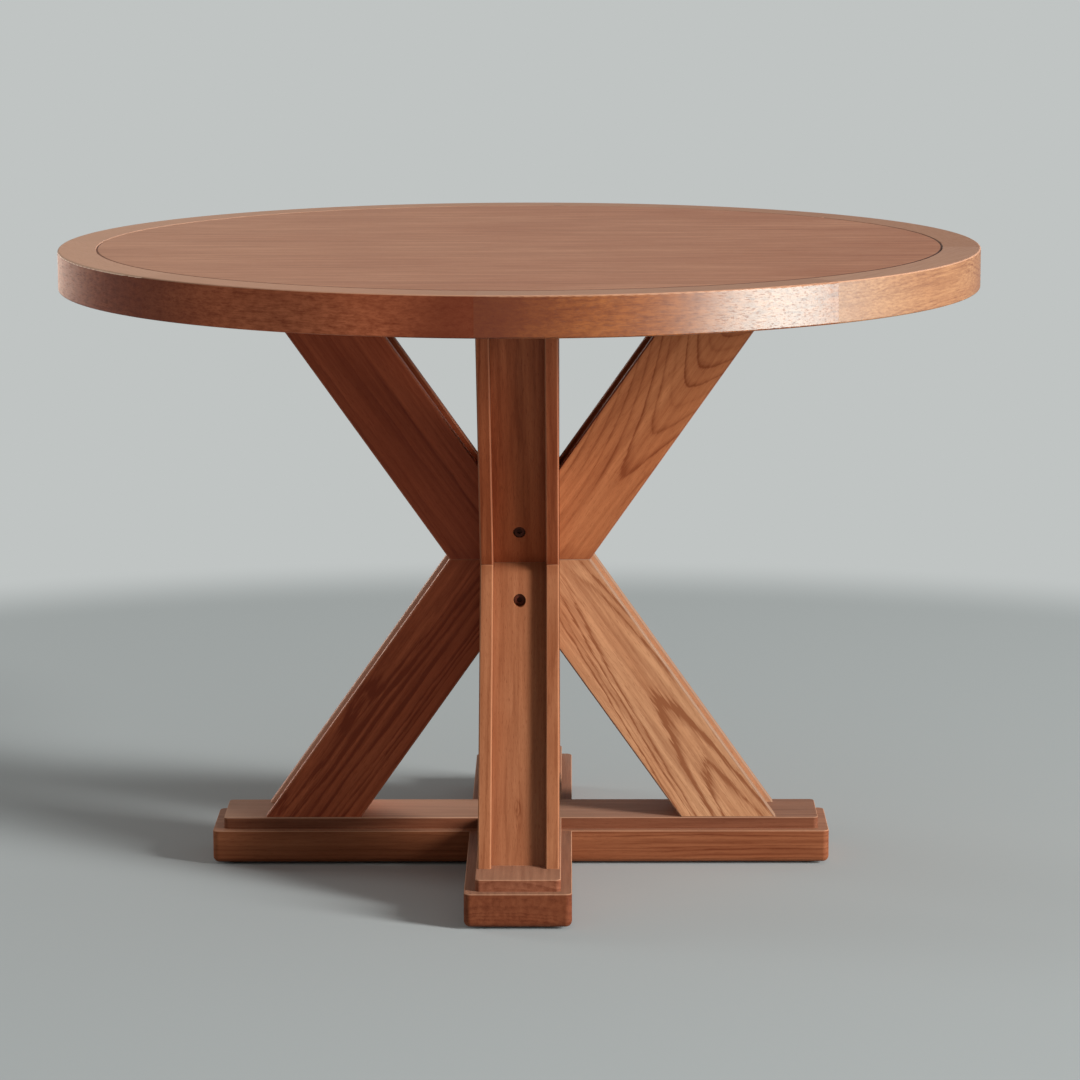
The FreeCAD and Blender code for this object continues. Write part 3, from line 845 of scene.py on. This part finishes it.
def fitting_finish(name, base, roughness, coarse, metallic=1.0, shine=0.5):
    """A metal or plastic with fine uneven patches, whose size is coarse in metres."""
    recipe = Recipe(bpy.data.materials.new(name))
    place = recipe.add("ShaderNodeTexCoord").out("Object")
    patches = noise(recipe, place, (coarse, coarse, coarse), 1.0, 3.0)
    tint = blend(recipe, patches, base, darker(base, patch_tone))
    relief = recipe.add("ShaderNodeBump", None,
                        {"Strength": 0.2, "Distance": 0.1 * MM, "Height": patches})
    shader = recipe.add("ShaderNodeBsdfPrincipled", None,
                        {"Base Color": tint, "Metallic": metallic,
                         "Roughness": roughness + patches * 0.2, "Specular IOR Level": shine,
                         "Normal": relief})
    recipe.add("ShaderNodeOutputMaterial", None, {"Surface": shader})
    return recipe.owner


zinc = fitting_finish("zinc", colour(190, 192, 196), 0.25, 4 * MM)
blackened = fitting_finish("blackened", colour(92, 46, 32), 0.45, 3 * MM, metallic=0.0,
                           shine=0.12)
nylon = fitting_finish("nylon", colour(60, 54, 50), 0.5, MM, metallic=0.0)
beech = wood("beech", (0, 0, 0), (0, 0, 0), stain(214, 180, 138),
             pith=(0, 40), taper=0.02, ring=5, seed=1.0, figure=0.3)
print("materials mixed so far:", len(bpy.data.materials))

# %% Give the fittings their finish
finishes = {"mitre_dowels": beech, "rim_splines": beech, "hub_bolts": blackened,
            "hub_washers": blackened, "floor_glides": nylon}
fittings = [name for name, node in nodes.items() if not node.hide_render]
for name in fittings:
    nodes[name].data.materials.clear()
    nodes[name].data.materials.append(finishes.get(name, zinc))
print("fittings:", ", ".join(fittings))

# %% [markdown]
# ## Floor and backdrop
# A pale floor carries the table's shadow. Far from the table it turns into the pale backdrop, so
# that no horizon shows. That could be a curved sheet, but a floor that only changes its shader is
# flat from every side. The backdrop's paleness is for the camera and for gloss: it adds no light.

# %% Tell the rays that show a background from those that light the table
def seen_directly(recipe):
    """1 for rays from the camera, from a glossy surface or through glass."""
    path = recipe.add("ShaderNodeLightPath")
    camera_or_gloss = path.out("Is Camera Ray") + path.out("Is Glossy Ray")
    return path.math("MINIMUM", camera_or_gloss + path.out("Is Transmission Ray"), 1.0)


print("the backdrop is seen from the camera, in gloss and through glass")

# %% Make the floor
floor_half_width = 40
floor_shape = bmesh.new()
bmesh.ops.create_grid(floor_shape, x_segments=1, y_segments=1, size=floor_half_width)
floor_mesh = bpy.data.meshes.new("floor")
floor_shape.to_mesh(floor_mesh)
floor_shape.free()
floor = bpy.data.objects.new("floor", floor_mesh)
bpy.context.scene.collection.objects.link(floor)
print("the floor is", 2 * floor_half_width, "m wide")

# %% Turn the far floor into the backdrop
pale_wall = colour(192, 196, 195)
pale_ground = colour(184, 193, 196)
backdrop_from, backdrop_full = 1.75, 2.15

floor_recipe = Recipe(bpy.data.materials.new("pale_floor"))
from_middle = floor_recipe.add("ShaderNodeVectorMath", {"operation": "LENGTH"},
                               {0: floor_recipe.add("ShaderNodeTexCoord").out("Object")})
far = rise(floor_recipe, from_middle.out("Value"), backdrop_from, backdrop_full)
near_floor = floor_recipe.add("ShaderNodeBsdfPrincipled", None,
                              {"Base Color": pale_ground, "Roughness": 0.6,
                               "Specular IOR Level": 0.0})
far_floor = floor_recipe.add("ShaderNodeEmission", None, {"Color": pale_wall, "Strength": 1.0})
floor_shader = floor_recipe.add("ShaderNodeMixShader", None,
                                {"Fac": far * seen_directly(floor_recipe), 1: near_floor,
                                 2: far_floor})
floor_recipe.add("ShaderNodeOutputMaterial", None, {"Surface": floor_shader})
floor_mesh.materials.append(floor_recipe.owner)
print("the floor fades from", backdrop_from, "to", backdrop_full, "m from the middle")

# %% Light the world evenly and dimly
room_tint = (1.0, 0.95, 0.9, 1)
room_strength = 0.27

world = bpy.data.worlds.new("studio")
bpy.context.scene.world = world
sky = Recipe(world)
dim = sky.add("ShaderNodeBackground", None, {"Color": room_tint, "Strength": room_strength})
pale = sky.add("ShaderNodeBackground", None, {"Color": pale_wall, "Strength": 1.0})
mixed = sky.add("ShaderNodeMixShader", None, {"Fac": seen_directly(sky), 1: dim, 2: pale})
sky.add("ShaderNodeOutputWorld", None, {"Surface": mixed})
print("the light from all around has a strength of", room_strength)

# %% [markdown]
# ## Lamps
# One tall lamp on the right stands for a window and draws the shadows; a dim one on the left keeps
# them open. Satin lacquer also mirrors what is near it. Two low lamps are there only for that:
# they light nothing, and show as gloss. The nearer one is linked to the rim alone, because on the
# arms it would draw hard white lines along the edges.

# %% Make a lamp that faces the table
lamp_target = Vector((0, 0, 0.4))
window_tint = (1.0, 0.97, 0.93)


def lamp_direction(azimuth, elevation):
    """From the table towards a lamp: azimuth from the front round to the right, in degrees."""
    turn, rise_angle = math.radians(azimuth), math.radians(elevation)
    return Vector((math.sin(turn) * math.cos(rise_angle), -math.cos(turn) * math.cos(rise_angle),
                   math.sin(rise_angle)))


def add_softbox(name, azimuth, elevation, distance, width, height, watts, tint=window_tint):
    """A rectangle of light that faces the table and that no camera sees."""
    data = bpy.data.lights.new(name, "AREA")
    data.shape = "RECTANGLE"
    data.size = width
    data.size_y = height
    data.color = tint
    data.energy = watts
    softbox = bpy.data.objects.new(name, data)
    bpy.context.scene.collection.objects.link(softbox)
    towards = lamp_direction(azimuth, elevation)
    softbox.location = lamp_target + towards * distance
    softbox.rotation_euler = (-towards).to_track_quat("-Z", "Y").to_euler()
    softbox.visible_camera = False
    print(name, "stands at", [round(place, 2) for place in softbox.location])
    return softbox


print("lamps face a point", round(lamp_target.z, 2), "m above the floor")

# %% Hang the lamps that light the table
window = add_softbox("window", azimuth=62, elevation=16, distance=12, width=2.1, height=5.1,
                     watts=2340)
left_fill = add_softbox("left_fill", azimuth=-115, elevation=12, distance=6, width=2.0,
                        height=2.0, watts=72)
left_fill.visible_glossy = False
print("watts on the right and on the left:", window.data.energy, left_fill.data.energy)

# %% Hang the lamps that only gloss shows
near_gloss = add_softbox("near_gloss", azimuth=61, elevation=0, distance=3, width=1.7,
                         height=0.8, watts=226, tint=(0.69, 1.0, 1.0))
far_gloss = add_softbox("far_gloss", azimuth=-150, elevation=0, distance=5, width=3.6,
                        height=0.8, watts=24, tint=(1.0, 0.72, 0.56))
for lamp in (near_gloss, far_gloss):
    lamp.visible_diffuse = False
polished_rim = bpy.data.collections.new("polished_rim")
for name in rim_names:
    polished_rim.objects.link(bpy.data.objects[name + "_eased"])
near_gloss.light_linking.receiver_collection = polished_rim

# %% [markdown]
# ## The end
# Standard view keeps a colour as it is written.

# %% Finish
bpy.context.scene.view_settings.view_transform = "Standard"
